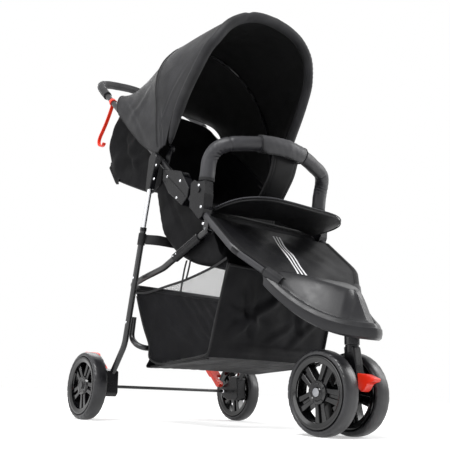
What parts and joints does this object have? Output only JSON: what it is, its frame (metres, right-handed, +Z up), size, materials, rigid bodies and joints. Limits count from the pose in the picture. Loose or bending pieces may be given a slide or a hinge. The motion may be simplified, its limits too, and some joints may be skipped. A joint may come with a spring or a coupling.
{
  "type": "three-wheel stroller",
  "caption": "Folding three-wheel pushchair with swivelling twin front wheels, fabric seat, canopy, padded bumper bar, calf rest and under-seat basket.",
  "frame": {"origin": "On the floor at the middle of the footprint's bounding box, centred between left and right.", "axes": "+X is the child's left, -Y is forward in the direction of travel, +Z is up."},
  "size_m": [0.521, 1.0586, 1.1097],
  "materials": {
    "black_steel": "satin black powder coat",
    "silver_steel": "satin silver",
    "zinc_steel": "zinc plated",
    "black_plastic": "fine matte grain",
    "gloss_plastic": "glossy",
    "red_plastic": "satin red",
    "tyre_rubber": "dark grey, matte",
    "grip_foam": "matte foam",
    "black_fabric": "plain woven polyester",
    "dark_mesh": "sheer net",
    "pad_leather": "soft coated cover"
  },
  "bodies": {
    "chassis": {"front_tube_left": "black_steel", "front_tube_right": "black_steel", "footrest_moulding": "black_plastic", "fork_tube": "black_steel", "fold_joint_cover_left": "black_plastic", "fold_joint_cover_right": "black_plastic", "armrest_socket_left": "black_plastic", "armrest_socket_right": "black_plastic", "seat_panel": "black_fabric", "leg_apron": "black_fabric", "basket_body": "black_fabric", "basket_mesh_left": "dark_mesh", "basket_mesh_right": "dark_mesh", "basket_rim_left": "black_fabric", "basket_rim_right": "black_fabric", "basket_board": "black_plastic"},
    "push_frame": {"push_tube": "black_steel", "handle_grip": "grip_foam", "canopy_bracket_left": "zinc_steel", "canopy_bracket_right": "zinc_steel", "canopy_fabric_front": "black_fabric", "canopy_fabric_rear": "black_fabric", "back_gusset": "black_fabric"},
    "rear_frame": {"rear_leg_left": "black_steel", "rear_leg_right": "black_steel", "rear_leg_upper_left": "silver_steel", "rear_leg_upper_right": "silver_steel", "leg_top_bracket_left": "black_plastic", "leg_top_bracket_right": "black_plastic", "lower_cross_tube": "black_steel", "axle_rod": "zinc_steel", "wheel_housing_left": "black_plastic", "wheel_housing_right": "black_plastic", "back_support_band": "black_fabric"},
    "link": {"link_tube": "black_steel", "link_rail_left": "black_plastic", "link_rail_right": "black_plastic"},
    "canopy_middle": {"canopy_mid_rib": "black_plastic"},
    "canopy_front": {"canopy_front_rim": "black_fabric"},
    "backrest": {"backrest_panel": "black_fabric"},
    "calf_support": {"calf_rest": "pad_leather"},
    "bumper": {"bumper_pad": "pad_leather", "bumper_cover": "pad_leather", "crotch_strap": "pad_leather"},
    "button_left": {"release_button_left": "black_plastic"},
    "button_right": {"release_button_right": "black_plastic"},
    "rear_wheel_left": {"rear_rim_left": "gloss_plastic", "rear_tyre_left": "tyre_rubber"},
    "rear_wheel_right": {"rear_rim_right": "gloss_plastic", "rear_tyre_right": "tyre_rubber"},
    "swivel": {"swivel_block": "black_plastic", "front_axle": "zinc_steel"},
    "swivel_lock": {"swivel_lock_lever": "red_plastic"},
    "front_wheel_left": {"front_rim_left": "gloss_plastic", "front_tyre_left": "tyre_rubber"},
    "front_wheel_right": {"front_rim_right": "gloss_plastic", "front_tyre_right": "tyre_rubber"},
    "brake_left": {"brake_pedal_left": "red_plastic"},
    "brake_right": {"brake_pedal_right": "red_plastic"},
    "hook": {"transport_hook": "red_plastic"}
  },
  "joints": [
    {"name": "fold", "type": "hinge", "parent": "chassis", "child": "push_frame", "pos_m": [0, -0.10835, 0.5385], "axis": [1, 0, 0], "range_deg": [0, 45], "deforming": ["back_gusset", "back_support_band"]},
    {"name": "leg_fold", "type": "hinge", "parent": "push_frame", "child": "rear_frame", "pos_m": [0, 0.00725, 0.6418], "axis": [1, 0, 0], "range_deg": [-21.5, 0]},
    {"name": "link_fold", "type": "hinge", "parent": "chassis", "child": "link", "pos_m": [0, -0.21035, 0.4235], "axis": [1, 0, 0], "range_deg": [0, 21.5]},
    {"name": "rear_roll_left", "type": "hinge", "parent": "rear_frame", "child": "rear_wheel_left", "pos_m": [0.2425, 0.20665, 0.0825], "axis": [1, 0, 0], "continuous": true},
    {"name": "rear_roll_right", "type": "hinge", "parent": "rear_frame", "child": "rear_wheel_right", "pos_m": [-0.2425, 0.20665, 0.0825], "axis": [1, 0, 0], "continuous": true},
    {"name": "caster_swivel", "type": "hinge", "parent": "chassis", "child": "swivel", "pos_m": [0, -0.45935, 0.15], "axis": [0, 0, 1], "continuous": true},
    {"name": "swivel_lock_tilt", "type": "hinge", "parent": "swivel", "child": "swivel_lock", "pos_m": [0, -0.48535, 0.112], "axis": [1, 0, 0], "range_deg": [0, 25]},
    {"name": "front_roll_left", "type": "hinge", "parent": "swivel", "child": "front_wheel_left", "pos_m": [0.044, -0.41935, 0.0825], "axis": [1, 0, 0], "continuous": true},
    {"name": "front_roll_right", "type": "hinge", "parent": "swivel", "child": "front_wheel_right", "pos_m": [-0.044, -0.41935, 0.0825], "axis": [1, 0, 0], "continuous": true},
    {"name": "brake_left_tilt", "type": "hinge", "parent": "rear_frame", "child": "brake_left", "pos_m": [0.1785, 0.21065, 0.101], "axis": [1, 0, 0], "range_deg": [-22, 0]},
    {"name": "brake_right_tilt", "type": "hinge", "parent": "rear_frame", "child": "brake_right", "pos_m": [-0.1785, 0.21065, 0.101], "axis": [1, 0, 0], "range_deg": [-22, 0]},
    {"name": "canopy_open", "type": "hinge", "parent": "push_frame", "child": "canopy_front", "pos_m": [0, -0.01135, 0.674], "axis": [1, 0, 0], "range_deg": [-60, 0], "deforming": ["canopy_fabric_front", "canopy_fabric_rear"]},
    {"name": "canopy_rib_follow", "type": "hinge", "parent": "push_frame", "child": "canopy_middle", "pos_m": [0, -0.01135, 0.674], "axis": [1, 0, 0], "range_deg": [-28, 0]},
    {"name": "backrest_recline", "type": "hinge", "parent": "chassis", "child": "backrest", "pos_m": [0, 0.05875, 0.5845], "axis": [1, 0, 0], "range_deg": [0, 30]},
    {"name": "calf_rest_tilt", "type": "hinge", "parent": "chassis", "child": "calf_support", "pos_m": [0, -0.19035, 0.4703], "axis": [1, 0, 0], "range_deg": [0, 27]},
    {"name": "bumper_lift", "type": "slide", "parent": "chassis", "child": "bumper", "axis": [0, -0.14, 0.9902], "range_m": [0, 0.03]},
    {"name": "button_left_press", "type": "slide", "parent": "chassis", "child": "button_left", "axis": [-1, 0, 0], "range_m": [0, 0.003], "stiffness_N_per_m": 200},
    {"name": "button_right_press", "type": "slide", "parent": "chassis", "child": "button_right", "axis": [1, 0, 0], "range_m": [0, 0.003], "stiffness_N_per_m": 200},
    {"name": "hook_swing", "type": "hinge", "parent": "push_frame", "child": "hook", "pos_m": [-0.183, 0.33295, 0.9331], "axis": [0, 0.7455, 0.6665], "range_deg": [-40, 40]}
  ],
  "couplings": [
    {"joint": "leg_fold", "follows": "fold", "ratio": -0.459},
    {"joint": "link_fold", "follows": "fold", "ratio": 0.456},
    {"joint": "canopy_rib_follow", "follows": "canopy_open", "ratio": 0.46}
  ]
}
